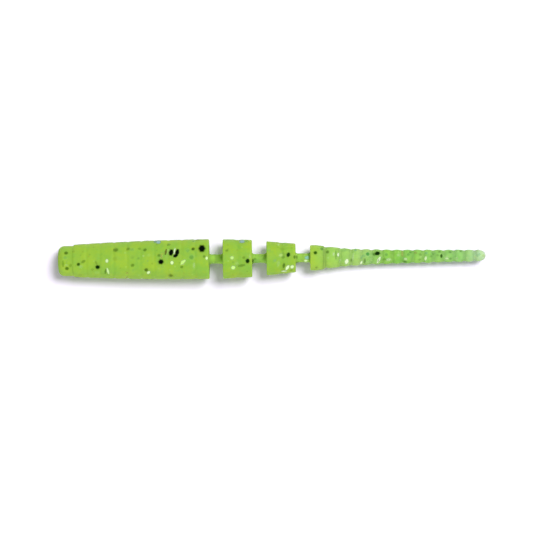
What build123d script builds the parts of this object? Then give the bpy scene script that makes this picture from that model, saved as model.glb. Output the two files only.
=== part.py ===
from build123d import *
import os
from math import cos, radians, sin, sqrt

# A small soft plastic worm for light jigs. It is one soft casting with glitter flakes in its skin,
# and it lies straight on a table. It is split where it bends: at its three thin necks and at the
# grooves between the rings of its tail.
#
# Frame: +X runs from the nose to the tail tip and +Z is up. The origin is below the middle of the
# worm, on the table. Each section lies on the table by its own widest ring, as a limp worm does.
# Millimetres throughout.

# ---- lengths along the worm
front_length = 22.5
neck_1_length = 2.05
segment_1_length = 4.35
neck_2_length = 2.15
segment_2_length = 4.35
neck_3_length = 2.2
tail_root_pitch = 2.35
tail_pitch = 1.55
tail_root_rings = 2
tail_ring_count = 16
web_length = 0.35
tip_dome_length = 0.8

# ---- front body: blunt flat nose, then ribs that widen quickly at first and then slowly
nose_flat_diameter = 2.8
nose_round = 0.85
nose_length = 2.3
first_rib_diameter = 4.85
rear_diameter = 5.95
front_rib_count = 10
taper_power = 2.1
rib_groove_width = 0.5
rib_groove_depth = 0.13

# ---- the two short segments, each with one wide, shallow groove round its middle
segment_1_front_diameter = 5.9
segment_1_rear_diameter = 5.6
segment_2_front_diameter = 5.15
segment_2_rear_diameter = 4.35
segment_groove_width = 1.2
segment_groove_depth = 0.15
rim_radius = 0.15

# ---- necks
neck_1_diameter = 1.4
neck_2_diameter = 1.35
neck_3_diameter = 1.35

# ---- tail: a short flare at the root, then a slow taper to a rounded tip
tail_root_diameter = 3.85
tail_waist_diameter = 2.45
tail_tip_diameter = 1.75
tail_flare_power = 6
flare_rings = 3
flare_rear_share = 0.91
flare_edge_drop = 0.05
ring_edge_drop = 0.1
web_drop = 0.03

# ---- belly: how far each section's soft underside is pressed flat where it lies on the table
belly_flat_depth = 0.06

# ---- glitter flakes: six-sided film, pressed into the skin
flake_sides = 6
large_flake = 0.9
medium_flake = 0.62
small_flake = 0.42
flake_thickness = 0.12
flake_proud = 0.02
flake_turn_angle = 25.0

# Flakes on the front body: share of its length from the nose, angle round the axis from straight up
# towards +Y, and size.
front_black = [
    (0.956, 32, large_flake),
    (0.787, 21, medium_flake),
    (0.753, 20, medium_flake),
    (0.684, -6, medium_flake),
    (0.267, -22, medium_flake),
    (0.898, 31, small_flake),
    (0.140, -13, small_flake),
    (0.058, 33, small_flake),
    (0.062, -31, small_flake),
    (0.387, 34, medium_flake),
    (0.580, 32, small_flake),
    (0.498, -16, small_flake),
    (0.587, -31, small_flake),
    (0.747, -54, medium_flake),
    (0.824, -25, small_flake),
    (0.173, -2, small_flake),
    (0.673, 13, small_flake),
    (0.960, 10, small_flake),
]
front_silver = [
    (0.758, -9, small_flake),
    (0.818, -13, small_flake),
    (0.838, -5, small_flake),
    (0.329, -2, small_flake),
    (0.333, -36, medium_flake),
    (0.600, -41, small_flake),
    (0.980, 2, small_flake),
    (0.156, -21, small_flake),
    (0.902, -18, small_flake),
]
front_blue = [
    (0.667, 75, medium_flake),
    (0.051, 13, small_flake),
    (0.480, 35, small_flake),
    (0.898, 70, small_flake),
]

# Flakes on the two segments: share of the segment's length, angle and size.
segment_1_black = [
    (0.848, -8, small_flake),
    (0.720, 3, small_flake),
    (0.139, 25, small_flake),
    (0.639, -21, small_flake),
]
segment_1_silver = [
    (0.313, 3, small_flake),
    (0.348, -28, medium_flake),
    (0.476, -14, small_flake),
]
segment_1_blue = [
    (0.674, 65, medium_flake),
]
segment_2_black = [
    (0.744, 12, small_flake),
    (0.900, 3, small_flake),
    (0.580, -28, small_flake),
]
segment_2_silver = [
    (0.709, -41, medium_flake),
    (0.593, -63, small_flake),
    (0.872, -37, small_flake),
    (0.488, 11, small_flake),
]

# Flakes on the tail: number of the ring that carries one, and its angle round the axis.
tail_silver = {2: 18, 3: -23, 5: -32, 7: -18, 8: -17, 9: -13, 11: -11, 13: -15}
tail_black = {1: 22, 6: 25, 12: 4}

# ---- worked out: sizes
rear_radius = rear_diameter / 2
first_rib_radius = first_rib_diameter / 2
nose_flat_radius = nose_flat_diameter / 2
nose_radius = nose_flat_radius + nose_round
segment_1_front_radius = segment_1_front_diameter / 2
segment_1_rear_radius = segment_1_rear_diameter / 2
segment_2_front_radius = segment_2_front_diameter / 2
segment_2_rear_radius = segment_2_rear_diameter / 2
tail_fine_rings = tail_ring_count - tail_root_rings
tail_length = tail_root_rings * tail_root_pitch + tail_fine_rings * tail_pitch
neck_lengths = neck_1_length + neck_2_length + neck_3_length
worm_length = front_length + segment_1_length + segment_2_length + neck_lengths + tail_length

# ---- worked out: places along X
nose_x = -worm_length / 2
front_end_x = nose_x + front_length
segment_1_x = front_end_x + neck_1_length
segment_1_end_x = segment_1_x + segment_1_length
segment_2_x = segment_1_end_x + neck_2_length
segment_2_end_x = segment_2_x + segment_2_length
tail_x = segment_2_end_x + neck_3_length


def front_radius_at(x):
    """Radius of the front body's ribs at x, without its grooves."""
    share = (x - nose_x - nose_length) / (front_length - nose_length)
    left = max(0.0, min(1.0, 1.0 - share)) ** taper_power
    return rear_radius - (rear_radius - first_rib_radius) * left


def front_skin_at(x):
    """Radius of the front body's skin at x, with its plain nose."""
    if x < nose_x + nose_length:
        return nose_radius
    return front_radius_at(x)


def segment_1_radius_at(x):
    """Radius of segment 1 at x, without its groove."""
    share = (x - segment_1_x) / segment_1_length
    return segment_1_front_radius + (segment_1_rear_radius - segment_1_front_radius) * share


def segment_2_radius_at(x):
    """Radius of segment 2 at x, without its groove."""
    share = (x - segment_2_x) / segment_2_length
    return segment_2_front_radius + (segment_2_rear_radius - segment_2_front_radius) * share


def ring_start(number):
    """X where a ring of the tail starts. Ring 1 is the root."""
    root_rings = min(number - 1, tail_root_rings)
    fine_rings = number - 1 - root_rings
    return tail_x + root_rings * tail_root_pitch + fine_rings * tail_pitch


def ring_end(number):
    """X where a ring ends: a web's length before the next ring, or at the tip."""
    if number == tail_ring_count:
        return tail_x + tail_length
    return ring_start(number + 1) - web_length


def ring_radius(number):
    """Widest radius of a ring."""
    left = 1.0 - (ring_start(number) - tail_x) / tail_length
    straight = tail_tip_diameter + (tail_waist_diameter - tail_tip_diameter) * left
    flare = (tail_root_diameter - tail_waist_diameter) * left**tail_flare_power
    return (straight + flare) / 2


def ring_height(number):
    """Height of a ring's axis above the table."""
    return ring_radius(number) - belly_flat_depth


def front_face_radius(number):
    """Radius of a ring's front face: nearly the whole ring in the flare, and less on a bead."""
    drop = flare_edge_drop if number <= flare_rings else ring_edge_drop
    return ring_radius(number) - drop


def rear_face_radius(number):
    """Radius of a ring's rear face: the flare narrows towards it, and a bead is the same at both ends."""
    if number <= flare_rings:
        return ring_radius(number) * flare_rear_share
    return ring_radius(number) - ring_edge_drop


def axis_plane(height):
    """Upright plane through a section's axis: X along the worm, Y the radius."""
    return Plane(origin=(0, 0, height), x_dir=(1, 0, 0), z_dir=(0, -1, 0))


def axis_at(height):
    """A section's own axis."""
    return Axis((0, 0, height), (1, 0, 0))


def grooved_outline(start, end, radius_at, grooves, width, depth):
    """Adds the top line of a section, from start to end, with a round-bottomed groove at each place."""
    here = (start, radius_at(start))
    for groove in grooves:
        near = (groove - width / 2, radius_at(groove - width / 2))
        deep = (groove, radius_at(groove) - depth)
        far = (groove + width / 2, radius_at(groove + width / 2))
        Line(here, near)
        ThreePointArc(near, deep, far)
        here = far
    Line(here, (end, radius_at(end)))


def flake_plane(x, angle, radius, height):
    """Plane on the skin, facing out, at x and at an angle round the axis from straight up."""
    outward = (0, sin(radians(angle)), cos(radians(angle)))
    reach = radius + flake_proud
    origin = (x, reach * outward[1], height + reach * outward[2])
    return Plane(origin=origin, x_dir=(1, 0, 0), z_dir=outward)


def flakes(places, start, length, radius_at, height):
    """Adds one six-sided flake for each (share of the length, angle, size)."""
    for number, (share, angle, size) in enumerate(places):
        x = start + share * length
        with BuildSketch(flake_plane(x, angle, radius_at(x), height)) as outline:
            RegularPolygon(size / 2, flake_sides, major_radius=False, rotation=number * flake_turn_angle)
        extrude(outline.sketch, amount=-flake_thickness)


def press_belly_flat():
    """Cuts off what would reach below the table."""
    split(bisect_by=Plane.XY, keep=Keep.TOP)


def finish(piece, name):
    """Labels a piece and writes its file."""
    piece.part.label = name
    export_step(piece.part, f"parts/{name}.step")


os.makedirs("parts", exist_ok=True)

# ---- front body flakes, one node for each colour
front_height = rear_radius - belly_flat_depth

with BuildPart() as front_black_flakes:
    flakes(front_black, nose_x, front_length, front_skin_at, front_height)
finish(front_black_flakes, "front_body_black_flakes")

with BuildPart() as front_silver_flakes:
    flakes(front_silver, nose_x, front_length, front_skin_at, front_height)
finish(front_silver_flakes, "front_body_silver_flakes")

with BuildPart() as front_blue_flakes:
    flakes(front_blue, nose_x, front_length, front_skin_at, front_height)
finish(front_blue_flakes, "front_body_blue_flakes")

# ---- front body: the flat nose takes a jig head, and the rear face is square
rib_pitch = (front_length - nose_length) / front_rib_count
rib_grooves = [nose_x + nose_length + rib_pitch * rib for rib in range(1, front_rib_count)]

with BuildPart() as front_body:
    with BuildSketch(axis_plane(front_height)):
        with BuildLine():
            nose_corner = (nose_x + nose_round, nose_flat_radius)
            rib_start = nose_x + nose_length
            Line((nose_x, 0), (nose_x, nose_flat_radius))
            CenterArc(nose_corner, nose_round, 90, 90)
            Line((nose_x + nose_round, nose_radius), (rib_start, nose_radius))
            Line((rib_start, nose_radius), (rib_start, front_radius_at(rib_start)))
            grooved_outline(
                rib_start, front_end_x, front_radius_at, rib_grooves, rib_groove_width, rib_groove_depth
            )
            Line((front_end_x, front_radius_at(front_end_x)), (front_end_x, 0))
            Line((front_end_x, 0), (nose_x, 0))
        make_face()
    revolve(axis=axis_at(front_height))
    fillet(front_body.faces().sort_by(Axis.X)[-1].edges(), rim_radius)
    press_belly_flat()
    add(front_black_flakes.part, mode=Mode.SUBTRACT)
    add(front_silver_flakes.part, mode=Mode.SUBTRACT)
    add(front_blue_flakes.part, mode=Mode.SUBTRACT)
finish(front_body, "front_body")

# ---- segment 1
segment_1_height = segment_1_front_radius - belly_flat_depth

with BuildPart() as segment_1_black_flakes:
    flakes(segment_1_black, segment_1_x, segment_1_length, segment_1_radius_at, segment_1_height)
finish(segment_1_black_flakes, "segment_1_black_flakes")

with BuildPart() as segment_1_silver_flakes:
    flakes(segment_1_silver, segment_1_x, segment_1_length, segment_1_radius_at, segment_1_height)
finish(segment_1_silver_flakes, "segment_1_silver_flakes")

with BuildPart() as segment_1_blue_flakes:
    flakes(segment_1_blue, segment_1_x, segment_1_length, segment_1_radius_at, segment_1_height)
finish(segment_1_blue_flakes, "segment_1_blue_flakes")

with BuildPart() as segment_1:
    with BuildSketch(axis_plane(segment_1_height)):
        with BuildLine():
            middle = segment_1_x + segment_1_length / 2
            Line((segment_1_x, 0), (segment_1_x, segment_1_front_radius))
            grooved_outline(
                segment_1_x,
                segment_1_end_x,
                segment_1_radius_at,
                [middle],
                segment_groove_width,
                segment_groove_depth,
            )
            Line((segment_1_end_x, segment_1_rear_radius), (segment_1_end_x, 0))
            Line((segment_1_end_x, 0), (segment_1_x, 0))
        make_face()
    revolve(axis=axis_at(segment_1_height))
    fillet(segment_1.faces().sort_by(Axis.X)[-1].edges(), rim_radius)
    fillet(segment_1.faces().sort_by(Axis.X)[0].edges(), rim_radius)
    press_belly_flat()
    add(segment_1_black_flakes.part, mode=Mode.SUBTRACT)
    add(segment_1_silver_flakes.part, mode=Mode.SUBTRACT)
    add(segment_1_blue_flakes.part, mode=Mode.SUBTRACT)
finish(segment_1, "segment_1")

# ---- segment 2, a little smaller
segment_2_height = segment_2_front_radius - belly_flat_depth

with BuildPart() as segment_2_black_flakes:
    flakes(segment_2_black, segment_2_x, segment_2_length, segment_2_radius_at, segment_2_height)
finish(segment_2_black_flakes, "segment_2_black_flakes")

with BuildPart() as segment_2_silver_flakes:
    flakes(segment_2_silver, segment_2_x, segment_2_length, segment_2_radius_at, segment_2_height)
finish(segment_2_silver_flakes, "segment_2_silver_flakes")

with BuildPart() as segment_2:
    with BuildSketch(axis_plane(segment_2_height)):
        with BuildLine():
            middle = segment_2_x + segment_2_length / 2
            Line((segment_2_x, 0), (segment_2_x, segment_2_front_radius))
            grooved_outline(
                segment_2_x,
                segment_2_end_x,
                segment_2_radius_at,
                [middle],
                segment_groove_width,
                segment_groove_depth,
            )
            Line((segment_2_end_x, segment_2_rear_radius), (segment_2_end_x, 0))
            Line((segment_2_end_x, 0), (segment_2_x, 0))
        make_face()
    revolve(axis=axis_at(segment_2_height))
    fillet(segment_2.faces().sort_by(Axis.X)[-1].edges(), rim_radius)
    fillet(segment_2.faces().sort_by(Axis.X)[0].edges(), rim_radius)
    press_belly_flat()
    add(segment_2_black_flakes.part, mode=Mode.SUBTRACT)
    add(segment_2_silver_flakes.part, mode=Mode.SUBTRACT)
finish(segment_2, "segment_2")

# ---- necks: each runs face to face between two sections, midway between their axes
necks = [
    ("neck_1", front_end_x, neck_1_length, neck_1_diameter, front_height, segment_1_height),
    ("neck_2", segment_1_end_x, neck_2_length, neck_2_diameter, segment_1_height, segment_2_height),
    ("neck_3", segment_2_end_x, neck_3_length, neck_3_diameter, segment_2_height, ring_height(1)),
]
for name, x, length, diameter, height_before, height_after in necks:
    height = (height_before + height_after) / 2
    with BuildPart() as neck:
        with BuildSketch(Plane(origin=(x, 0, height), x_dir=(0, 1, 0), z_dir=(1, 0, 0))):
            Circle(diameter / 2)
        extrude(amount=length)
    finish(neck, name)

# ---- tail rings: beads whose flat end faces meet the webs, each with its own flakes
for number in range(1, tail_ring_count + 1):
    name = f"tail_ring_{number:02d}"
    start = ring_start(number)
    end = ring_end(number)
    crest = ring_radius(number)
    height = ring_height(number)
    rear_face = rear_face_radius(number)
    front_face = front_face_radius(number)
    dome_start = end
    if number == tail_ring_count:
        dome_start = end - tip_dome_length
    # the widest place lies nearer the wider face, so that the arc peaks there
    front_drop = sqrt(crest - front_face)
    crest_share = front_drop / (front_drop + sqrt(crest - rear_face))
    middle = start + (dome_start - start) * crest_share

    ring_flakes = []
    if number in tail_silver:
        angle = tail_silver[number]
        with BuildPart() as silver:
            flakes([(crest_share, angle, small_flake)], start, dome_start - start, lambda x: crest, height)
        finish(silver, f"{name}_silver_flake")
        ring_flakes.append(silver.part)
    if number in tail_black:
        angle = tail_black[number]
        with BuildPart() as black:
            flakes([(crest_share, angle, small_flake)], start, dome_start - start, lambda x: crest, height)
        finish(black, f"{name}_black_flake")
        ring_flakes.append(black.part)

    with BuildPart() as ring:
        with BuildSketch(axis_plane(height)):
            with BuildLine():
                Line((start, 0), (start, front_face))
                ThreePointArc((start, front_face), (middle, crest), (dome_start, rear_face))
                if number == tail_ring_count:
                    EllipticalCenterArc((dome_start, 0), tip_dome_length, rear_face, start_angle=0, arc_size=90)
                else:
                    Line((end, rear_face), (end, 0))
                Line((end, 0), (start, 0))
            make_face()
        revolve(axis=axis_at(height))
        press_belly_flat()
        for flake in ring_flakes:
            add(flake, mode=Mode.SUBTRACT)
    finish(ring, name)

# ---- tail webs: the core in each groove, a little smaller than the ring faces that it joins
for number in range(1, tail_ring_count):
    before = Plane(origin=(ring_end(number), 0, ring_height(number)), x_dir=(0, 1, 0), z_dir=(1, 0, 0))
    after = Plane(origin=(ring_start(number + 1), 0, ring_height(number + 1)), x_dir=(0, 1, 0), z_dir=(1, 0, 0))
    with BuildPart() as web:
        with BuildSketch(before):
            Circle(rear_face_radius(number) - web_drop)
        with BuildSketch(after):
            Circle(front_face_radius(number + 1) - web_drop)
        loft()
    finish(web, f"tail_web_{number:02d}")
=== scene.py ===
import bpy
import bmesh
import random
from math import cos, pi, radians, sin
from mathutils import Matrix, Vector, noise
from mathutils.bvhtree import BVHTree
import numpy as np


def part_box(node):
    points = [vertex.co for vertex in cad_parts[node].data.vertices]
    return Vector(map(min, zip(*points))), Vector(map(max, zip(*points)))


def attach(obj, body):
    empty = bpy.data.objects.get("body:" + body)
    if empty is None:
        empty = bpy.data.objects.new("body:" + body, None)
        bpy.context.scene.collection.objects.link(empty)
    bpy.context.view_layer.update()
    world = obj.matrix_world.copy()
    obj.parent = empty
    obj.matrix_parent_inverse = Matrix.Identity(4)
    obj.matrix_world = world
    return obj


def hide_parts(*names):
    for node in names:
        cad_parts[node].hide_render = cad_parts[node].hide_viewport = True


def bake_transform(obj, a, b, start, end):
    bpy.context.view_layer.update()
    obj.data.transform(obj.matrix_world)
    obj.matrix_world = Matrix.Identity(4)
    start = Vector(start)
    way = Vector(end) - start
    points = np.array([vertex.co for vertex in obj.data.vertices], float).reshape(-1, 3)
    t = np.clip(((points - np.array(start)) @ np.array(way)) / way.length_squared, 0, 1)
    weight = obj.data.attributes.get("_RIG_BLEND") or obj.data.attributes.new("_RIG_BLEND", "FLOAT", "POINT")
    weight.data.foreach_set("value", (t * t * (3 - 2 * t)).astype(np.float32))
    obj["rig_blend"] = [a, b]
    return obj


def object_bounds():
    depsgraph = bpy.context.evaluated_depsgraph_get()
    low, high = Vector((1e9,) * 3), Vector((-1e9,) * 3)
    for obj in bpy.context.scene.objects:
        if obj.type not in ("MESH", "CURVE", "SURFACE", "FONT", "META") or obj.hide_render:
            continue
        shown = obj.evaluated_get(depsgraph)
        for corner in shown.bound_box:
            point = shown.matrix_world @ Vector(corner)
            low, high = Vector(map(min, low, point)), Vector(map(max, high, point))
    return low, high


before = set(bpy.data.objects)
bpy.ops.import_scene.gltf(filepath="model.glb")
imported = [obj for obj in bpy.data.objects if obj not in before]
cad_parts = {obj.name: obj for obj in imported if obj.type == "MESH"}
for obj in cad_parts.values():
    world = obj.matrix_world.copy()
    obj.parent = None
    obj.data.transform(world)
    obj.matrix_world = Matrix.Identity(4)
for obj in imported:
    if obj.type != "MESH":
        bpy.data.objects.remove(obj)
cad_low, cad_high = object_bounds()


# ---- Front body
# The stout front of the worm, which takes the jig hook. It is cast in one with the rest from a soft, clear
# plastisol tinted lime, has a square-cut nose that butts on the jig head, and ten shallow ribs.

front_low, front_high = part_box("front_body")
rear_radius = (front_high.y - front_low.y) / 2
front_axis = front_high.z - rear_radius
front_start = front_low.x
front_end = front_high.x
nose_length = 0.0023
nose_flat_radius = 0.0014
nose_round = 0.00085
nose_bare_length = 0.0008
nose_step_length = 0.0002
nose_step_fillet = 0.00002
nose_step_half = 0.00005
first_rib_radius = 0.002425
first_rib_start = 0.00015
front_ribs = 10
front_groove_width = 0.0007
front_groove_depth = 0.00006
taper_power = 2.1
rim_round = 0.00014
rim_steps = 4
face_ring_share = 0.6
skin_wave = 0.00002
slow_waves_per_metre = 420
fine_waves_per_metre = 1300
outline_step = 0.00012
steps_around = 72
weld_distance = 1e-7
axis_distance = 1e-5
crease_angle = 50


def front_radius(x):
    """Radius over the ribs of the front body, which widens quickly behind the nose and then slowly."""
    left = 1 - (x - front_start - nose_length) / (front_end - front_start - nose_length)
    return rear_radius - (rear_radius - first_rib_radius) * max(0.0, min(1.0, left)) ** taper_power


def grooved_outline(start, end, radius_at, grooves, width, depth):
    """Outline points of a length of worm, with a soft groove at each place."""
    points = []
    steps = round((end - start) / outline_step)
    for step in range(steps + 1):
        x = start + (end - start) * step / steps
        from_groove = min(abs(x - groove) for groove in grooves)
        dip = depth * (0.5 + 0.5 * cos(pi * min(1.0, from_groove / (width / 2))))
        points.append((x, radius_at(x) - dip))
    return points


def rounded_rim(x, radius, turn_from, turn_to, round_radius):
    """Outline points round a rim whose corner arc starts and ends at two angles, in degrees."""
    points = []
    for step in range(rim_steps + 1):
        angle = radians(turn_from + (turn_to - turn_from) * step / rim_steps)
        points.append((x + round_radius * cos(angle), radius - round_radius + round_radius * sin(angle)))
    return points


def cast_round(name, outline, axis_height, wave=0.0):
    """Spins an outline of (x, radius) points round a level axis, uneven as soft plastic is, flat on the table."""
    mesh = bmesh.new()
    corners = [mesh.verts.new((x, 0, axis_height + radius)) for x, radius in outline]
    edges = [mesh.edges.new(pair) for pair in zip(corners, corners[1:])]
    centre = (0, 0, axis_height)
    bmesh.ops.spin(mesh, geom=corners + edges, cent=centre, axis=(1, 0, 0), angle=2 * pi,
                   steps=steps_around, use_merge=True)
    bmesh.ops.remove_doubles(mesh, verts=mesh.verts, dist=weld_distance)
    bmesh.ops.recalc_face_normals(mesh, faces=mesh.faces)
    for corner in mesh.verts:
        outward = Vector((0, corner.co.y, corner.co.z - axis_height))
        if wave and outward.length > axis_distance:
            swell = noise.noise(corner.co * slow_waves_per_metre)
            swell += 0.5 * noise.noise(corner.co * fine_waves_per_metre)
            corner.co += outward.normalized() * swell * wave
        corner.co.z = max(corner.co.z, 0.0)
    for face in mesh.faces:
        face.smooth = True
    data = bpy.data.meshes.new(name)
    mesh.to_mesh(data)
    mesh.free()
    data.set_sharp_from_angle(angle=radians(crease_angle))
    piece = bpy.data.objects.new(name, data)
    bpy.context.collection.objects.link(piece)
    return piece


def add_node(tree, kind, x, y, **inputs):
    """Adds a node and sets its plain inputs by name."""
    node = tree.nodes.new(kind)
    node.location = (x, y)
    for label, value in inputs.items():
        node.inputs[label.replace("_", " ")].default_value = value
    return node


def ramp_stops(node, stops):
    """Sets a colour ramp's stops from (position, colour) pairs."""
    elements = node.color_ramp.elements
    while len(elements) > 1:
        elements.remove(elements[-1])
    elements[0].position, elements[0].color = stops[0]
    for position, colour in stops[1:]:
        elements.new(position).color = colour


sunk_flake_core = 0.55


def sunk_glitter_group():
    """Glitter deep in the plastic: soft-edged dim spots, of which the tint says what film each flake is."""
    group = bpy.data.node_groups.new("sunk_glitter", "ShaderNodeTree")
    group.interface.new_socket("Flake size", in_out="INPUT", socket_type="NodeSocketFloat")
    group.interface.new_socket("Flakes per metre", in_out="INPUT", socket_type="NodeSocketFloat")
    group.interface.new_socket("Share of cells", in_out="INPUT", socket_type="NodeSocketFloat")
    group.interface.new_socket("Mask", in_out="OUTPUT", socket_type="NodeSocketFloat")
    group.interface.new_socket("Tint", in_out="OUTPUT", socket_type="NodeSocketColor")
    given = group.nodes.new("NodeGroupInput")
    given.location = (-900, 0)
    place = add_node(group, "ShaderNodeTexCoord", -900, 300)
    cells = add_node(group, "ShaderNodeTexVoronoi", -600, 200)
    group.links.new(place.outputs["Object"], cells.inputs["Vector"])
    group.links.new(given.outputs["Flakes per metre"], cells.inputs["Scale"])
    near = add_node(group, "ShaderNodeMapRange", -300, 300)
    near.interpolation_type = "SMOOTHSTEP"
    near.inputs["To Min"].default_value = 1.0
    near.inputs["To Max"].default_value = 0.0
    inner = add_node(group, "ShaderNodeMath", -600, -150)
    inner.operation = "MULTIPLY"
    inner.inputs[1].default_value = sunk_flake_core
    group.links.new(given.outputs["Flake size"], inner.inputs[0])
    group.links.new(cells.outputs["Distance"], near.inputs["Value"])
    group.links.new(inner.outputs[0], near.inputs["From Min"])
    group.links.new(given.outputs["Flake size"], near.inputs["From Max"])
    parts = add_node(group, "ShaderNodeSeparateColor", -300, 0)
    group.links.new(cells.outputs["Color"], parts.inputs[0])
    there = add_node(group, "ShaderNodeMath", -100, 0)
    there.operation = "LESS_THAN"
    group.links.new(parts.outputs[0], there.inputs[0])
    group.links.new(given.outputs["Share of cells"], there.inputs[1])
    mask = add_node(group, "ShaderNodeMath", 100, 200)
    mask.operation = "MULTIPLY"
    group.links.new(near.outputs[0], mask.inputs[0])
    group.links.new(there.outputs[0], mask.inputs[1])
    # The pale stops are painted glints of sunk silver flakes; the dark ones are the other films' own colours.
    tint = add_node(group, "ShaderNodeValToRGB", 100, -100)
    tint.color_ramp.interpolation = "CONSTANT"
    ramp_stops(tint, [
        (0.0, (0.06, 0.17, 0.02, 1)),
        (0.42, (0.50, 0.78, 0.24, 1)),
        (0.68, (0.07, 0.25, 0.16, 1)),
        (0.86, (0.62, 0.85, 0.42, 1)),
        (0.95, (0.30, 0.22, 0.03, 1)),
    ])
    group.links.new(parts.outputs[1], tint.inputs[0])
    result = group.nodes.new("NodeGroupOutput")
    result.location = (400, 0)
    group.links.new(mask.outputs[0], result.inputs["Mask"])
    group.links.new(tint.outputs[0], result.inputs["Tint"])
    return group


fine_cloud_share = 0.35


def cloud_group():
    """Uneven dye and fine bubbles in the plastic: a slow change of colour, and a faint unevenness of the skin."""
    group = bpy.data.node_groups.new("cloudy_dye", "ShaderNodeTree")
    group.interface.new_socket("Thin", in_out="INPUT", socket_type="NodeSocketColor")
    group.interface.new_socket("Dense", in_out="INPUT", socket_type="NodeSocketColor")
    group.interface.new_socket("Cloud", in_out="OUTPUT", socket_type="NodeSocketColor")
    group.interface.new_socket("Skin height", in_out="OUTPUT", socket_type="NodeSocketFloat")
    given = group.nodes.new("NodeGroupInput")
    given.location = (-700, 0)
    place = add_node(group, "ShaderNodeTexCoord", -900, 200)
    slow = add_node(group, "ShaderNodeTexNoise", -600, 300, Scale=430.0, Detail=3.0, Roughness=0.5)
    fine = add_node(group, "ShaderNodeTexNoise", -600, 0, Scale=2600.0, Detail=2.0, Roughness=0.5)
    skin = add_node(group, "ShaderNodeTexNoise", -600, -300, Scale=3800.0, Detail=3.0, Roughness=0.6)
    for texture in (slow, fine, skin):
        group.links.new(place.outputs["Object"], texture.inputs["Vector"])
    both = add_node(group, "ShaderNodeMix", -350, 200)
    both.inputs[0].default_value = fine_cloud_share
    group.links.new(slow.outputs[0], both.inputs[2])
    group.links.new(fine.outputs[0], both.inputs[3])
    spread = add_node(group, "ShaderNodeMapRange", -150, 200)
    spread.inputs["From Min"].default_value = 0.38
    spread.inputs["From Max"].default_value = 0.62
    group.links.new(both.outputs[0], spread.inputs["Value"])
    colour = add_node(group, "ShaderNodeMix", 50, 100)
    colour.data_type = "RGBA"
    group.links.new(spread.outputs[0], colour.inputs[0])
    group.links.new(given.outputs["Thin"], colour.inputs[6])
    group.links.new(given.outputs["Dense"], colour.inputs[7])
    result = group.nodes.new("NodeGroupOutput")
    result.location = (300, 0)
    group.links.new(colour.outputs[2], result.inputs["Cloud"])
    group.links.new(skin.outputs[0], result.inputs["Skin height"])
    return group


sunk_glitter = sunk_glitter_group()
cloudy_dye = cloud_group()
large_flake_share = 0.6
large_flake_strength = 0.16
small_flake_strength = 0.2


def plastisol(name, along, glitter_share):
    """Soft clear plastic, dyed through, with glitter sunk in it. Along holds (share of the worm's length,
    colour where the dye is thin, colour where it is dense)."""
    material = bpy.data.materials.new(name)
    material.use_nodes = True
    tree = material.node_tree
    shader = tree.nodes["Principled BSDF"]
    shader.inputs["Roughness"].default_value = 0.5
    shader.inputs["IOR"].default_value = 1.4
    shader.inputs["Specular IOR Level"].default_value = 0.12
    shader.inputs["Subsurface Weight"].default_value = 0.4
    shader.inputs["Subsurface Radius"].default_value = (1.0, 1.0, 0.5)
    shader.inputs["Subsurface Scale"].default_value = 0.003
    place = add_node(tree, "ShaderNodeTexCoord", -1900, 300)
    axes = add_node(tree, "ShaderNodeSeparateXYZ", -1700, 300)
    tree.links.new(place.outputs["Object"], axes.inputs[0])
    behind_nose = add_node(tree, "ShaderNodeMapRange", -1500, 300)
    behind_nose.inputs["From Min"].default_value = cad_low.x
    behind_nose.inputs["From Max"].default_value = cad_high.x
    tree.links.new(axes.outputs[0], behind_nose.inputs["Value"])
    dye = add_node(tree, "ShaderNodeGroup", -900, 200)
    dye.node_tree = cloudy_dye
    for label, column, y in (("Thin", 1, 400), ("Dense", 2, 150)):
        shades = add_node(tree, "ShaderNodeValToRGB", -1250, y)
        ramp_stops(shades, [(stop[0], stop[column]) for stop in along])
        tree.links.new(behind_nose.outputs[0], shades.inputs[0])
        tree.links.new(shades.outputs[0], dye.inputs[label])
    small = add_node(tree, "ShaderNodeGroup", -900, -100)
    small.node_tree = sunk_glitter
    small.inputs["Flake size"].default_value = 0.30
    small.inputs["Flakes per metre"].default_value = 1500.0
    small.inputs["Share of cells"].default_value = glitter_share
    large = add_node(tree, "ShaderNodeGroup", -900, -400)
    large.node_tree = sunk_glitter
    large.inputs["Flake size"].default_value = 0.34
    large.inputs["Flakes per metre"].default_value = 760.0
    large.inputs["Share of cells"].default_value = glitter_share * large_flake_share
    colour = dye.outputs["Cloud"]
    for flakes, strength, x in ((large, large_flake_strength, -600), (small, small_flake_strength, -300)):
        faded = add_node(tree, "ShaderNodeMath", x, -200)
        faded.operation = "MULTIPLY"
        faded.inputs[1].default_value = strength
        tree.links.new(flakes.outputs["Mask"], faded.inputs[0])
        over = add_node(tree, "ShaderNodeMix", x + 150, 200)
        over.data_type = "RGBA"
        tree.links.new(faded.outputs[0], over.inputs[0])
        tree.links.new(colour, over.inputs[6])
        tree.links.new(flakes.outputs["Tint"], over.inputs[7])
        colour = over.outputs[2]
    tree.links.new(colour, shader.inputs["Base Color"])
    skin = add_node(tree, "ShaderNodeBump", -300, -500, Strength=0.25, Distance=0.00003)
    tree.links.new(dye.outputs["Skin height"], skin.inputs["Height"])
    tree.links.new(skin.outputs[0], shader.inputs["Normal"])
    return material


lime_plastic = plastisol("lime_plastisol", [
    (0.00, (0.37, 0.58, 0.050, 1), (0.29, 0.54, 0.062, 1)),
    (0.30, (0.37, 0.58, 0.045, 1), (0.27, 0.54, 0.064, 1)),
    (0.52, (0.35, 0.56, 0.044, 1), (0.26, 0.53, 0.066, 1)),
], 0.34)

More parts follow.
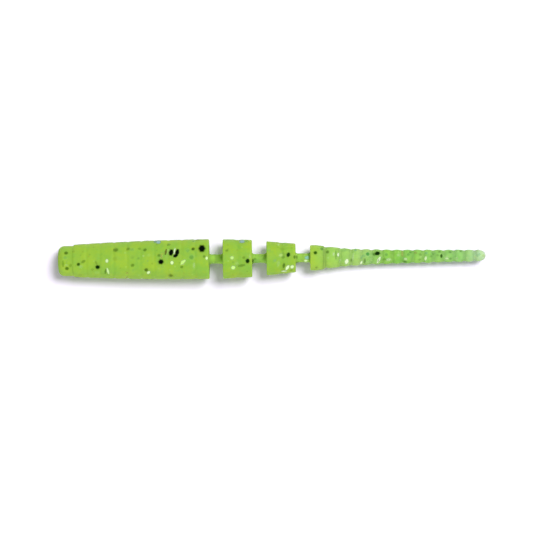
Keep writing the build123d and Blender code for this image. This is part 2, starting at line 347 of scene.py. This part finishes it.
first_rib = front_start + nose_length
rib_pitch = (front_end - first_rib) / front_ribs
front_grooves = [first_rib + rib_pitch * number for number in range(1, front_ribs)]
nose_radius = nose_flat_radius + nose_round
front_outline = [(front_start, 0), (front_start, nose_flat_radius * 0.5), (front_start, nose_flat_radius)]
front_outline += rounded_rim(front_start + nose_round, nose_radius, 180, 90, nose_round)[1:]
front_outline += [
    (first_rib - nose_bare_length, nose_radius),
    (first_rib - nose_step_length, nose_radius),
    (first_rib - nose_step_half, nose_radius + nose_step_fillet),
    (first_rib + nose_step_half, first_rib_radius - nose_step_fillet),
]
front_outline += grooved_outline(first_rib + first_rib_start, front_end - rim_round, front_radius, front_grooves,
                                 front_groove_width, front_groove_depth)[:-1]
front_outline += rounded_rim(front_end - rim_round, rear_radius, 90, 0, rim_round)
front_outline += [(front_end, rear_radius * face_ring_share), (front_end, 0)]
front_body = cast_round("front_body_casting", front_outline, front_axis, skin_wave)
front_body.data.materials.append(lime_plastic)
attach(front_body, "front")
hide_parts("front_body")

# Each casting's start, end, name, mesh and bodies, for the glitter that lies on it.
castings = [(front_start, front_end, "front_body", front_body, ["front"])]


# ---- Short segments
# Two short stubby sections behind the front body, cast in one with it. Each is a little cone with a square rim
# at both ends and one groove round its middle.

segment_groove_width = 0.0013
segment_groove_depth = 0.00007

for name, rear_share in (("segment_1", 0.949), ("segment_2", 0.845)):
    low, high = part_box(name)
    widest = (high.y - low.y) / 2
    start = low.x
    end = high.x

    def segment_radius(x):
        """Radius of the segment, which narrows evenly towards the tail."""
        return widest * (1 - (1 - rear_share) * (x - start) / (end - start))

    outline = [(start, 0), (start, widest * face_ring_share)]
    outline += rounded_rim(start + rim_round, segment_radius(start), 180, 90, rim_round)
    outline += grooved_outline(start + rim_round, end - rim_round, segment_radius, [(start + end) / 2],
                               segment_groove_width, segment_groove_depth)[1:-1]
    outline += rounded_rim(end - rim_round, segment_radius(end), 90, 0, rim_round)
    outline += [(end, widest * face_ring_share), (end, 0)]
    segment = cast_round(name + "_casting", outline, high.z - widest, skin_wave)
    segment.data.materials.append(lime_plastic)
    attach(segment, name)
    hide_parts(name)
    castings.append((start, end, name, segment, [name]))


# ---- Necks
# The thin necks are where the worm flexes. Each swells into the faces that it joins, as the mould leaves it.
# Its colour is painted paler and brighter than the front body's, to offset the shade that those faces cast on it.
# A neck is made in two halves: its front half bends sideways and its rear half up and down.

# Painted light: a brighter colour than the front body's, which stands in for light where the faces shade the
# neck.
neck_plastic_painted_light = plastisol("neck_plastisol", [
    (0.35, (0.37, 0.66, 0.080, 1), (0.29, 0.60, 0.095, 1)),
], 0.34)
neck_flare = 0.0002
neck_steps = 16


def neck_outline(start, end, radius, first, last):
    """Outline of a stretch of neck between two shares of its length, flared near both faces."""
    points = []
    for step in range(neck_steps + 1):
        share = first + (last - first) * step / neck_steps
        from_face = min(share, 1 - share) * (end - start)
        flare = neck_flare * max(0.0, 1 - from_face / (2 * neck_flare)) ** 2
        points.append((start + share * (end - start), radius + flare))
    return points


for name, before, after in (
    ("neck_1", "front", "segment_1"),
    ("neck_2", "segment_1", "segment_2"),
    ("neck_3", "segment_2", "tail_01"),
):
    low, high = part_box(name)
    radius = (high.y - low.y) / 2
    height = (low.z + high.z) / 2
    middle = (low.x + high.x) / 2
    for half, first, last, body_a, body_b, x_a, x_b in (
        ("front_half", 0.0, 0.5, before, name, low.x, middle),
        ("rear_half", 0.5, 1.0, name, after, middle, high.x),
    ):
        outline = [(x_a, 0)] + neck_outline(low.x, high.x, radius, first, last) + [(x_b, 0)]
        neck = cast_round(f"{name}_{half}", outline, height)
        neck.data.materials.append(neck_plastic_painted_light)
        bend = [body_a, body_b, (x_a, 0, height), (x_b, 0, height)]
        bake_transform(neck, body_a, body_b, start=bend[2], end=bend[3])
        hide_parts(name)
        castings.append((x_a, x_b, f"{name}_{half}", neck, bend))


# ---- Tail
# Sixteen beads cast in a row on a thin core, from a flared root to a rounded tip. The plastic is the same, but
# it is ever thinner towards the tip, where the dye looks paler and greener.

tail_plastic = plastisol("tail_plastisol", [
    (0.59, (0.40, 0.62, 0.060, 1), (0.32, 0.58, 0.070, 1)),
    (0.66, (0.40, 0.70, 0.130, 1), (0.32, 0.64, 0.120, 1)),
    (0.72, (0.40, 0.69, 0.170, 1), (0.31, 0.63, 0.150, 1)),
    (0.77, (0.28, 0.63, 0.080, 1), (0.22, 0.57, 0.075, 1)),
    (0.86, (0.33, 0.67, 0.130, 1), (0.25, 0.61, 0.110, 1)),
    (0.95, (0.34, 0.68, 0.185, 1), (0.28, 0.63, 0.160, 1)),
    (1.00, (0.55, 0.74, 0.470, 1), (0.50, 0.71, 0.420, 1)),
], 0.42)
ring_names = sorted(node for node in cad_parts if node.startswith("tail_ring_") and "flake" not in node)
flare_rings = 3
flare_rear_share = 0.91
flare_edge_drop = 0.00005
flare_roundness = 1.25
ring_edge_drop = 0.0001
ring_roundness = 2.0
ring_steps = 16
tail_wave = 0.000012
dome_length = 0.0008
dome_steps = 8
rings = []

for number, name in enumerate(ring_names, 1):
    low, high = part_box(name)
    crest = (high.y - low.y) / 2
    is_tip = name == ring_names[-1]
    in_flare = number <= flare_rings
    dome_start = high.x - dome_length if is_tip else high.x
    front_drop = flare_edge_drop if in_flare else ring_edge_drop
    rear_drop = crest * (1 - flare_rear_share) if in_flare else ring_edge_drop
    roundness = flare_roundness if in_flare else ring_roundness
    widest = front_drop ** 0.5 / (front_drop ** 0.5 + rear_drop ** 0.5)
    front_face = crest - front_drop
    rear_face = crest - rear_drop
    rings.append((high.z - crest, front_face, rear_face))
    outline = [(low.x, 0), (low.x, front_face * face_ring_share)]
    for step in range(ring_steps + 1):
        share = step / ring_steps
        if share < widest:
            drop = front_drop * (1 - share / widest) ** roundness
        else:
            drop = rear_drop * ((share - widest) / (1 - widest)) ** roundness
        outline.append((low.x + share * (dome_start - low.x), crest - drop))
    if is_tip:
        for step in range(1, dome_steps):
            angle = radians(90 * step / dome_steps)
            outline.append((dome_start + dome_length * sin(angle), rear_face * cos(angle)))
        outline.append((high.x, 0))
    else:
        outline += [(high.x, rear_face * face_ring_share), (high.x, 0)]
    ring = cast_round(name + "_casting", outline, high.z - crest, tail_wave)
    ring.data.materials.append(tail_plastic)
    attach(ring, f"tail_{number:02d}")
    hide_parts(name)
    castings.append((low.x, high.x, name, ring, [f"tail_{number:02d}"]))

web_overlap = 0.00008
web_drop = 0.00002
web_steps = 8

for number in range(1, len(ring_names)):
    name = f"tail_web_{number:02d}"
    low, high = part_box(name)
    height_before, _, radius_before = rings[number - 1]
    height_after, radius_after, _ = rings[number]
    height = (height_before + height_after) / 2
    web_length = high.x - low.x
    outline = [(low.x - web_overlap, 0)]
    for step in range(web_steps + 1):
        x = low.x - web_overlap + (web_length + 2 * web_overlap) * step / web_steps
        share = (x - low.x) / web_length
        outline.append((x, radius_before + (radius_after - radius_before) * share - web_drop))
    outline.append((outline[-1][0], 0))
    web = cast_round(name + "_casting", outline, height)
    for corner in web.data.vertices:
        share = (corner.co.x - low.x) / web_length
        corner.co.z += (height_after - height_before) * (share - 0.5)
        corner.co.z = max(corner.co.z, 0.0)
    web.data.materials.append(tail_plastic)
    bend = [f"tail_{number:02d}", f"tail_{number + 1:02d}", (low.x, 0, height), (high.x, 0, height)]
    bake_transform(web, bend[0], bend[1], start=bend[2], end=bend[3])
    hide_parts(name)
    castings.append((low.x, high.x, name, web, bend))


# ---- Glitter at the skin
# Six-sided bits of metallised film, stirred into the plastic before it is cast. Those that come to the skin lie
# flush in it, some whole and some under a little plastic, where they look dimmer.

flake_thickness = 0.00005
flake_proud = 0.000012
flake_soft_rim = 0.42
flake_spread = 0.5 / (cos(pi / 6) - flake_soft_rim / 2)
flake_feel = 0.35
most_lift = 0.00005
glitter = random.Random(26)
skins = {}
for start, end, name, piece, riding in castings:
    corners = [corner.co for corner in piece.data.vertices]
    skins[name] = BVHTree.FromPolygons(corners, [tuple(face.vertices) for face in piece.data.polygons])


def lay_flake(mesh, skin, start, towards, length, width, lean, cover, tint):
    """Lays one flake flat on the skin, where a line from start meets it. Its rim fades into the plastic."""
    side = towards.cross(Vector((1, 0, 0))).normalized()
    hits = []
    for along, across in ((0, 0), (1, 0), (-1, 0), (0, 1), (0, -1)):
        offset = (Vector((along, 0, 0)) + side * across) * width * flake_feel
        hit, facing, _, _ = skin.ray_cast(start + offset, towards)
        if hit:
            hits.append((hit, facing))
    if not hits:
        return
    centre = hits[0][0]
    facing = sum((normal for _, normal in hits), Vector()).normalized()
    lift = max((hit - centre).dot(facing) for hit, _ in hits)
    centre = centre + facing * (flake_proud + min(lift, most_lift))
    lengthwise = (Vector((1, 0, 0)) - facing * facing.x).normalized()
    crosswise = facing.cross(lengthwise)
    lie = Matrix((lengthwise, crosswise, facing)).transposed().to_4x4()
    place = Matrix.Translation(centre) @ lie @ Matrix.Rotation(radians(lean), 4, "Z")
    place = place @ Matrix.Diagonal((length * flake_spread, width * flake_spread, 1, 1))
    outer = bmesh.ops.create_circle(mesh, cap_ends=True, segments=6, radius=1.0, matrix=place)["verts"]
    face = outer[0].link_faces[0]
    under = bmesh.ops.extrude_face_region(mesh, geom=[face], use_keep_orig=True)["geom"]
    under = [part for part in under if isinstance(part, bmesh.types.BMVert)]
    bmesh.ops.translate(mesh, verts=under, vec=facing * -flake_thickness)
    flats = {flat for corner in list(outer) + under for flat in corner.link_faces if len(flat.verts) == 6}
    face = max(flats, key=lambda flat: flat.calc_center_median().dot(facing))
    soft_rim = min(length, width) * flake_spread * flake_soft_rim
    bmesh.ops.inset_region(mesh, faces=[face], thickness=soft_rim, use_even_offset=True)
    for corner in face.verts:
        corner[mesh.verts.layers.float["cover"]] = cover
    for corner in list(outer) + under + list(face.verts):
        corner[mesh.verts.layers.float["tint"]] = tint


film_patchiness = 0.12
film_veil = 1.3


def glitter_film(name, tints, gloss, roughness):
    """Thin metallised film. Each flake carries its own tint, and how much of it shows."""
    material = bpy.data.materials.new(name)
    material.use_nodes = True
    tree = material.node_tree
    shader = tree.nodes["Principled BSDF"]
    shader.inputs["Roughness"].default_value = roughness
    shader.inputs["Specular IOR Level"].default_value = gloss
    place = add_node(tree, "ShaderNodeTexCoord", -1100, 200)
    patches = add_node(tree, "ShaderNodeTexNoise", -900, 200, Scale=3200.0, Detail=2.0)
    tree.links.new(place.outputs["Object"], patches.inputs["Vector"])
    own = add_node(tree, "ShaderNodeAttribute", -900, 0)
    own.attribute_name = "tint"
    uneven = add_node(tree, "ShaderNodeMath", -650, 100)
    uneven.operation = "MULTIPLY_ADD"
    uneven.inputs[1].default_value = film_patchiness
    tree.links.new(patches.outputs[0], uneven.inputs[0])
    tree.links.new(own.outputs["Fac"], uneven.inputs[2])
    shades = add_node(tree, "ShaderNodeValToRGB", -450, 0)
    ramp_stops(shades, tints)
    tree.links.new(uneven.outputs[0], shades.inputs[0])
    tree.links.new(shades.outputs[0], shader.inputs["Base Color"])
    shown = add_node(tree, "ShaderNodeAttribute", -650, -300)
    shown.attribute_name = "cover"
    veiled = add_node(tree, "ShaderNodeMath", -450, -300)
    veiled.operation = "POWER"
    veiled.inputs[1].default_value = film_veil
    tree.links.new(shown.outputs["Fac"], veiled.inputs[0])
    tree.links.new(veiled.outputs[0], shader.inputs["Alpha"])
    return material


films = {
    "black": glitter_film("black_film", [
        (0.06, (0.0003, 0.0020, 0.0003, 1)),
        (0.40, (0.010, 0.090, 0.002, 1)),
        (0.70, (0.055, 0.200, 0.006, 1)),
        (1.00, (0.170, 0.150, 0.020, 1)),
    ], 0.03, 0.6),
    # The silver flakes are real glitter, but their pale white, yellow and orange colours are painted glints: they
    # stand in for the lights' reflection in the metallised film.
    "silver": glitter_film("silver_film", [
        (0.06, (0.80, 0.98, 0.60, 1)),
        (0.35, (0.62, 0.94, 0.25, 1)),
        (0.65, (0.58, 0.70, 0.06, 1)),
        (1.00, (0.62, 0.42, 0.16, 1)),
    ], 0.2, 0.45),
    "blue": glitter_film("blue_film", [
        (0.06, (0.33, 0.52, 0.62, 1)),
        (0.50, (0.24, 0.66, 0.30, 1)),
        (1.00, (0.06, 0.32, 0.04, 1)),
    ], 0.2, 0.45),
}

# Flakes on the upper side: distance behind the nose, distance off the middle, length, width, all in millimetres,
# then the lean in degrees, how much shows, and the tint from the film's own colour towards its others.
upper_glitter = {
    "black": [
        (21.50, 1.58, 1.10, 0.90, 90, 1.00, 0.00),
        (17.83, 1.02, 0.98, 0.52, 78, 1.00, 0.00),
        (17.56, 0.54, 0.58, 0.44, 20, 1.00, 0.00),
        (16.94, 1.05, 0.88, 0.62, 80, 1.00, 0.00),
        (15.42, -0.32, 0.72, 0.68, 20, 1.00, 0.00),
        (6.00, -0.97, 0.62, 0.60, 10, 0.97, 0.10),
        (5.80, -0.32, 0.50, 0.30, 120, 0.30, 0.30),
        (20.20, 1.53, 0.50, 0.45, 40, 0.66, 0.20),
        (3.15, -0.52, 0.48, 0.42, 35, 0.78, 0.30),
        (3.90, -0.12, 0.60, 0.40, 30, 0.42, 0.50),
        (1.30, 1.18, 0.55, 0.50, 0, 0.62, 0.35),
        (1.40, -1.12, 0.52, 0.50, 15, 0.70, 0.45),
        (0.85, -0.42, 0.80, 0.35, 90, 0.35, 0.55),
        (1.95, -0.67, 0.50, 0.40, 60, 0.30, 0.55),
        (2.40, 1.38, 0.45, 0.40, 0, 0.22, 0.40),
        (3.80, 1.33, 0.40, 0.35, 50, 0.16, 0.40),
        (5.20, -1.32, 0.45, 0.40, 10, 0.28, 0.60),
        (7.15, -1.62, 0.80, 0.28, 80, 0.50, 0.45),
        (8.70, 1.53, 0.68, 0.60, 5, 0.48, 0.25),
        (10.50, 1.63, 0.60, 0.50, 25, 0.38, 0.25),
        (12.25, 1.68, 0.45, 0.40, 0, 0.30, 0.50),
        (13.05, 1.48, 0.52, 0.45, 45, 0.56, 0.55),
        (11.20, -0.77, 0.50, 0.45, 30, 0.50, 0.65),
        (12.10, 0.20, 0.45, 0.40, 0, 0.14, 0.60),
        (13.20, -1.47, 0.55, 0.50, 70, 0.62, 0.20),
        (15.15, 0.63, 0.45, 0.40, 0, 0.50, 0.70),
        (16.15, 1.13, 0.82, 0.32, 80, 0.75, 1.00),
        (18.50, -1.12, 0.50, 0.35, 0, 0.50, 0.60),
        (16.80, -2.37, 0.65, 0.60, 0, 0.52, 0.20),
        (21.85, 0.38, 0.40, 0.40, 30, 0.42, 0.45),
        (28.25, -0.37, 0.62, 0.54, 80, 0.97, 0.12),
        (27.70, 0.13, 0.42, 0.40, 0, 0.38, 0.60),
        (25.20, 1.23, 0.42, 0.38, 20, 0.38, 0.45),
        (27.35, -1.02, 0.90, 0.38, 10, 0.42, 0.75),
        (29.00, -0.32, 0.55, 0.45, 80, 0.60, 0.25),
        (29.35, -0.07, 0.38, 0.32, 0, 0.34, 0.35),
        (34.30, 0.48, 0.62, 0.48, 70, 0.97, 0.15),
        (35.22, 0.13, 0.46, 0.34, 90, 0.60, 0.60),
        (35.58, 0.13, 0.46, 0.26, 90, 0.50, 0.55),
        (33.62, -1.12, 0.70, 0.36, 80, 0.55, 0.35),
        (33.55, 0.10, 0.50, 0.34, 10, 0.38, 0.75),
        (34.70, -1.82, 0.42, 0.40, 0, 0.30, 0.40),
        (38.35, 0.73, 0.50, 0.50, 15, 0.90, 0.40),
        (38.50, -1.45, 0.42, 0.40, 0, 0.40, 0.65),
        (40.20, 0.83, 0.50, 0.42, 85, 0.50, 0.40),
        (41.42, 0.36, 1.10, 0.28, 90, 0.34, 0.50),
        (43.80, -0.42, 0.42, 0.40, 0, 0.42, 0.50),
        (45.75, -0.62, 0.80, 0.30, 85, 0.52, 0.40),
        (46.98, 0.40, 0.48, 0.45, 0, 0.55, 0.50),
        (47.68, 0.53, 0.68, 0.62, 20, 1.00, 0.10),
        (47.75, -0.46, 0.50, 0.26, 85, 0.55, 0.30),
        (48.62, -0.37, 0.40, 0.38, 0, 0.36, 0.50),
        (51.85, -0.80, 0.50, 0.36, 0, 0.58, 0.35),
        (52.80, 0.58, 0.38, 0.36, 0, 0.36, 0.45),
        (54.10, 0.25, 0.42, 0.38, 0, 0.34, 0.75),
        (54.00, -0.52, 0.42, 0.38, 30, 0.34, 0.75),
        (55.70, -0.03, 0.36, 0.34, 0, 0.30, 0.45),
        (56.00, 0.28, 0.36, 0.34, 0, 0.30, 0.45),
        (56.70, 0.12, 0.36, 0.34, 0, 0.30, 0.50),
        (57.38, 0.00, 0.50, 0.36, 85, 0.80, 0.35),
        (57.00, 0.62, 0.42, 0.40, 0, 0.42, 0.45),
        (58.60, 0.57, 0.42, 0.40, 0, 0.42, 0.45),
        (58.60, -0.43, 0.40, 0.38, 0, 0.40, 0.45),
        (60.20, 0.70, 0.42, 0.40, 0, 0.40, 0.45),
    ],
    "silver": [
        (7.40, -0.07, 0.52, 0.42, 85, 0.85, 0.10),
        (7.50, -1.57, 0.98, 0.34, 100, 0.90, 0.20),
        (13.52, -1.87, 0.58, 0.44, 60, 0.95, 0.15),
        (17.05, -0.47, 0.52, 0.46, 85, 1.00, 0.15),
        (17.44, 1.24, 0.80, 0.24, 78, 0.90, 0.00),
        (16.60, 1.18, 0.80, 0.16, 80, 0.45, 0.30),
        (18.62, -0.44, 1.00, 0.46, 38, 0.95, 0.32),
        (22.20, 0.13, 0.46, 0.36, 85, 0.95, 0.15),
        (3.50, -0.87, 0.52, 0.45, 50, 0.32, 0.20),
        (1.35, -0.62, 0.42, 0.28, 0, 0.34, 0.20),
        (20.30, -0.92, 0.80, 0.34, 85, 0.34, 0.10),
        (15.60, -1.02, 0.42, 0.36, 0, 0.20, 0.25),
        (7.80, -2.42, 0.45, 0.36, 0, 0.22, 0.25),
        (10.35, -1.87, 0.42, 0.36, 30, 0.45, 0.80),
        (10.20, -2.52, 0.45, 0.42, 0, 0.50, 0.95),
        (15.50, 0.46, 0.50, 0.28, 90, 0.50, 0.90),
        (15.65, 0.86, 0.50, 0.36, 30, 0.50, 0.62),
        (25.95, 0.13, 0.52, 0.50, 0, 0.88, 0.30),
        (26.10, -1.32, 0.62, 0.60, 20, 1.00, 0.28),
        (26.65, -0.72, 0.50, 0.46, 40, 0.40, 0.30),
        (28.60, 0.28, 0.48, 0.30, 85, 0.30, 0.05),
        (34.15, -1.42, 0.80, 0.46, 62, 1.00, 0.05),
        (33.62, -1.95, 0.72, 0.40, 10, 0.95, 0.05),
        (34.85, -1.32, 0.62, 0.54, 80, 0.95, 0.08),
        (33.20, 0.43, 0.62, 0.45, 10, 0.62, 0.35),
        (32.80, -0.82, 0.80, 0.44, 85, 0.36, 0.25),
        (32.85, 1.98, 0.45, 0.32, 0, 0.32, 0.10),
        (36.92, -0.42, 0.46, 0.36, 10, 1.00, 0.06),
        (41.08, 0.50, 0.48, 0.30, 85, 0.50, 0.05),
        (41.90, 0.40, 0.50, 0.32, 85, 0.95, 0.00),
        (42.05, -0.42, 0.45, 0.40, 0, 0.42, 0.10),
        (43.03, -0.62, 0.78, 0.54, 80, 1.00, 0.00),
        (43.88, 0.06, 0.90, 0.28, 85, 0.42, 0.10),
        (45.30, -0.78, 0.62, 0.48, 60, 1.00, 0.00),
        (46.70, -0.34, 0.42, 0.38, 0, 0.36, 0.20),
        (46.30, -0.76, 0.42, 0.38, 0, 0.36, 0.20),
        (48.10, -0.45, 0.95, 0.42, 65, 0.88, 0.02),
        (49.66, -0.44, 0.68, 0.48, 0, 0.58, 0.10),
        (50.80, 0.22, 0.42, 0.38, 0, 0.34, 0.10),
        (51.40, 0.42, 0.85, 0.32, 90, 0.40, 0.85),
        (51.66, -0.36, 0.50, 0.40, 0, 0.66, 0.10),
        (53.40, 0.50, 0.42, 0.38, 0, 0.34, 0.85),
        (54.72, -0.32, 0.62, 0.36, 80, 0.82, 0.05),
        (57.82, -0.38, 0.52, 0.40, 0, 0.70, 0.10),
        (59.40, -0.38, 0.42, 0.38, 0, 0.42, 0.10),
        (61.00, -0.34, 0.42, 0.38, 0, 0.36, 0.10),
        (62.40, -0.18, 0.42, 0.38, 0, 0.46, 0.10),
        (63.60, -0.02, 0.42, 0.38, 0, 0.40, 0.45),
    ],
    "blue": [
        (15.00, 2.62, 0.66, 0.90, 0, 0.80, 0.05),
        (14.50, 2.66, 0.40, 0.70, 0, 0.50, 0.10),
        (1.15, 0.48, 0.48, 0.42, 0, 0.28, 0.55),
        (11.10, 1.58, 0.50, 0.45, 0, 0.28, 0.50),
        (19.40, 1.28, 0.50, 0.45, 20, 0.30, 0.60),
        (20.20, 2.68, 0.45, 0.60, 0, 0.35, 0.45),
        (16.50, 2.18, 0.62, 0.48, 0, 0.42, 1.00),
        (19.95, 0.28, 0.62, 0.56, 20, 0.42, 0.95),
        (27.45, 2.56, 0.75, 0.90, 0, 0.75, 0.00),
        (28.05, 2.58, 0.50, 0.60, 0, 0.35, 0.70),
        (31.50, 1.20, 0.42, 0.38, 0, 0.20, 0.30),
        (32.30, -0.37, 0.45, 0.40, 0, 0.26, 0.20),
        (37.16, 0.02, 0.70, 0.46, 0, 0.95, 0.24),
        (37.35, 0.62, 0.42, 0.34, 0, 0.40, 0.80),
        (39.32, 1.30, 0.46, 0.60, 0, 0.50, 0.90),
        (44.40, 1.08, 0.42, 0.60, 0, 0.46, 0.40),
        (45.30, -0.08, 0.42, 0.38, 0, 0.40, 0.50),
        (45.60, 0.16, 0.42, 0.38, 0, 0.40, 0.50),
        (46.20, 0.44, 0.52, 0.48, 85, 0.90, 1.00),
        (49.00, 0.32, 0.42, 0.38, 0, 0.42, 0.95),
        (49.10, -0.46, 0.42, 0.38, 0, 0.42, 0.90),
        (52.30, 0.28, 0.42, 0.38, 0, 0.42, 0.95),
        (55.00, 0.46, 0.42, 0.38, 0, 0.40, 0.40),
        (62.90, 0.16, 0.45, 0.40, 0, 0.46, 0.30),
    ],
}

pools = {}


def glitter_pool(name, word):
    """The mesh that gathers the flakes of one film on one casting."""
    if (name, word) not in pools:
        mesh = bmesh.new()
        mesh.verts.layers.float.new("cover")
        mesh.verts.layers.float.new("tint")
        pools[name, word] = mesh
    return pools[name, word]


# On the tail each flake is kept within its own bead, so that the beads can bend past each other.
mm = 0.001
ring_flake_reach = 0.55
for word, flakes in upper_glitter.items():
    for behind, aside, length, width, lean, cover, tint in flakes:
        x = front_start + behind * mm
        start, end, name = next(casting[:3] for casting in castings if casting[0] <= x <= casting[1])
        if name.startswith("tail_ring"):
            reach = Vector((length * cos(radians(lean)), width * sin(radians(lean)))).length
            reach *= ring_flake_reach * mm
            x = min(max(x, start + reach), end - reach)
        above = Vector((x, aside * mm, cad_high.z * 2))
        lay_flake(glitter_pool(name, word), skins[name], above, Vector((0, 0, -1)),
                  length * mm, width * mm, lean, cover, tint)

# The sides and the underside of the stouter pieces get the same mix, scattered by chance.
side_flakes_per_area = 380000.0
side_top = 76
side_bottom = 140
side_flake_lengths = (0.34, 0.62)
side_flake_reach = 0.55
for start, end, name, piece, riding in castings:
    if "web" in name or "half" in name:
        continue
    height = max(corner.co.z for corner in piece.data.vertices)
    across = max(corner.co.y for corner in piece.data.vertices)
    axis = height - across
    side_area = (end - start) * across * 2 * radians(side_bottom - side_top)
    for flake in range(round(side_flakes_per_area * side_area)):
        word = glitter.choices(("black", "silver", "blue"), (5, 4, 2))[0]
        round_from_top = radians(glitter.uniform(side_top, side_bottom)) * glitter.choice((-1, 1))
        inwards = Vector((0, -sin(round_from_top), -cos(round_from_top)))
        length = glitter.uniform(*side_flake_lengths) * mm
        x = glitter.uniform(start + length * side_flake_reach, end - length * side_flake_reach)
        origin = Vector((x, 0, axis)) - inwards * across * 2
        lay_flake(glitter_pool(name, word), skins[name], origin, inwards, length,
                  length * glitter.uniform(0.6, 1.0), glitter.uniform(0, 180),
                  glitter.uniform(0.2, 1.0), glitter.uniform(0, 0.55))

for start, end, name, piece, riding in castings:
    for word, film in films.items():
        if (name, word) not in pools:
            continue
        mesh = pools[name, word]
        bmesh.ops.recalc_face_normals(mesh, faces=mesh.faces)
        data = bpy.data.meshes.new(f"{name}_{word}_glitter")
        mesh.to_mesh(data)
        mesh.free()
        flakes = bpy.data.objects.new(data.name, data)
        bpy.context.collection.objects.link(flakes)
        data.materials.append(film)
        if len(riding) == 1:
            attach(flakes, riding[0])
        else:
            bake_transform(flakes, riding[0], riding[1], start=riding[2], end=riding[3])
        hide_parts(*[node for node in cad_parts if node.startswith(f"{name}_{word}_flake")])


# ---- Table and light
# A plain white table top under soft light from above and to the right, which leaves a close, soft shadow. The top
# leans a little under the worm, so that it touches the tapered front body and falls away below the tail.

table_reach = 0.6
table_lean = 1.35
belly_gap = 0.00008
table_mesh = bmesh.new()
bmesh.ops.create_grid(table_mesh, x_segments=1, y_segments=1, size=table_reach)
table_data = bpy.data.meshes.new("table")
table_mesh.to_mesh(table_data)
table_mesh.free()
table = bpy.data.objects.new("table", table_data)
table_place = Matrix.Translation((front_end, 0, -belly_gap)) @ Matrix.Rotation(radians(table_lean), 4, "Y")
table_data.transform(table_place)
bpy.context.collection.objects.link(table)
table_white = bpy.data.materials.new("table_white")
table_white.use_nodes = True
tree = table_white.node_tree
tree.nodes.remove(tree.nodes["Principled BSDF"])
surface = tree.nodes["Material Output"]
path = add_node(tree, "ShaderNodeLightPath", -900, 0)
seen = add_node(tree, "ShaderNodeMath", -700, 0)
seen.operation = "MAXIMUM"
tree.links.new(path.outputs["Is Camera Ray"], seen.inputs[0])
tree.links.new(path.outputs["Is Glossy Ray"], seen.inputs[1])
seen_too = add_node(tree, "ShaderNodeMath", -500, 0)
seen_too.operation = "MAXIMUM"
tree.links.new(seen.outputs[0], seen_too.inputs[0])
tree.links.new(path.outputs["Is Transmission Ray"], seen_too.inputs[1])
tone = add_node(tree, "ShaderNodeMix", -300, 0)
tone.data_type = "RGBA"
tone.inputs[6].default_value = (0.8, 0.8, 0.8, 1)
tone.inputs[7].default_value = (1.12, 1.04, 1.23, 1)
tree.links.new(seen_too.outputs[0], tone.inputs[0])
matt = add_node(tree, "ShaderNodeBsdfDiffuse", -100, 0)
tree.links.new(tone.outputs[2], matt.inputs["Color"])
tree.links.new(matt.outputs[0], surface.inputs["Surface"])
table.data.materials.append(table_white)

world = bpy.data.worlds.new("studio")
bpy.context.scene.world = world
world.use_nodes = True
tree = world.node_tree
room = tree.nodes["Background"]
room.inputs["Color"].default_value = (1, 1, 1, 1)
place = add_node(tree, "ShaderNodeTexCoord", -1100, -200)
parts = add_node(tree, "ShaderNodeSeparateXYZ", -900, -200)
tree.links.new(place.outputs["Generated"], parts.inputs[0])
rise = add_node(tree, "ShaderNodeMapRange", -700, -200)
rise.interpolation_type = "SMOOTHSTEP"
rise.inputs["From Min"].default_value = 0.35
rise.inputs["From Max"].default_value = 0.95
rise.inputs["To Min"].default_value = 0.14
rise.inputs["To Max"].default_value = 0.45
tree.links.new(parts.outputs[2], rise.inputs["Value"])
path = add_node(tree, "ShaderNodeLightPath", -900, 0)
level = add_node(tree, "ShaderNodeMix", -300, 0)
level.inputs[3].default_value = 1.0
tree.links.new(path.outputs["Is Camera Ray"], level.inputs[0])
tree.links.new(rise.outputs[0], level.inputs[2])
tree.links.new(level.outputs[0], room.inputs["Strength"])

lamp_data = bpy.data.lights.new("soft_box", "AREA")
lamp_data.shape = "DISK"
lamp_data.size = 0.95
lamp_data.energy = 36
lamp = bpy.data.objects.new("soft_box", lamp_data)
bpy.context.collection.objects.link(lamp)
lamp.location = Vector((0.38, 0.33, 1.0)) * 1.9
lamp.rotation_euler = (-lamp.location).to_track_quat("-Z", "Y").to_euler()

fill_data = bpy.data.lights.new("low_fill", "AREA")
fill_data.shape = "DISK"
fill_data.size = 0.6
fill_data.energy = 6.5
fill = bpy.data.objects.new("low_fill", fill_data)
bpy.context.collection.objects.link(fill)
fill.location = Vector((-0.3, -1.0, 0.13)) * 1.15
fill.rotation_euler = (-fill.location).to_track_quat("-Z", "Y").to_euler()


# ---- Camera
# It looks straight down on the worm through a long lens.

camera_data = bpy.data.cameras.new("camera")
camera_data.lens = 150
camera_data.sensor_width = 36
camera_data.clip_start = 0.01
view_width = 0.081
camera = bpy.data.objects.new("camera", camera_data)
bpy.context.collection.objects.link(camera)
look_at = Vector((-0.00045, -0.00175, 0.0015))
camera.location = look_at + Vector((0, 0, view_width * camera_data.lens / camera_data.sensor_width))
camera.rotation_euler = (0, 0, radians(-0.78))
bpy.context.scene.camera = camera
bpy.context.scene.view_settings.view_transform = "Standard"
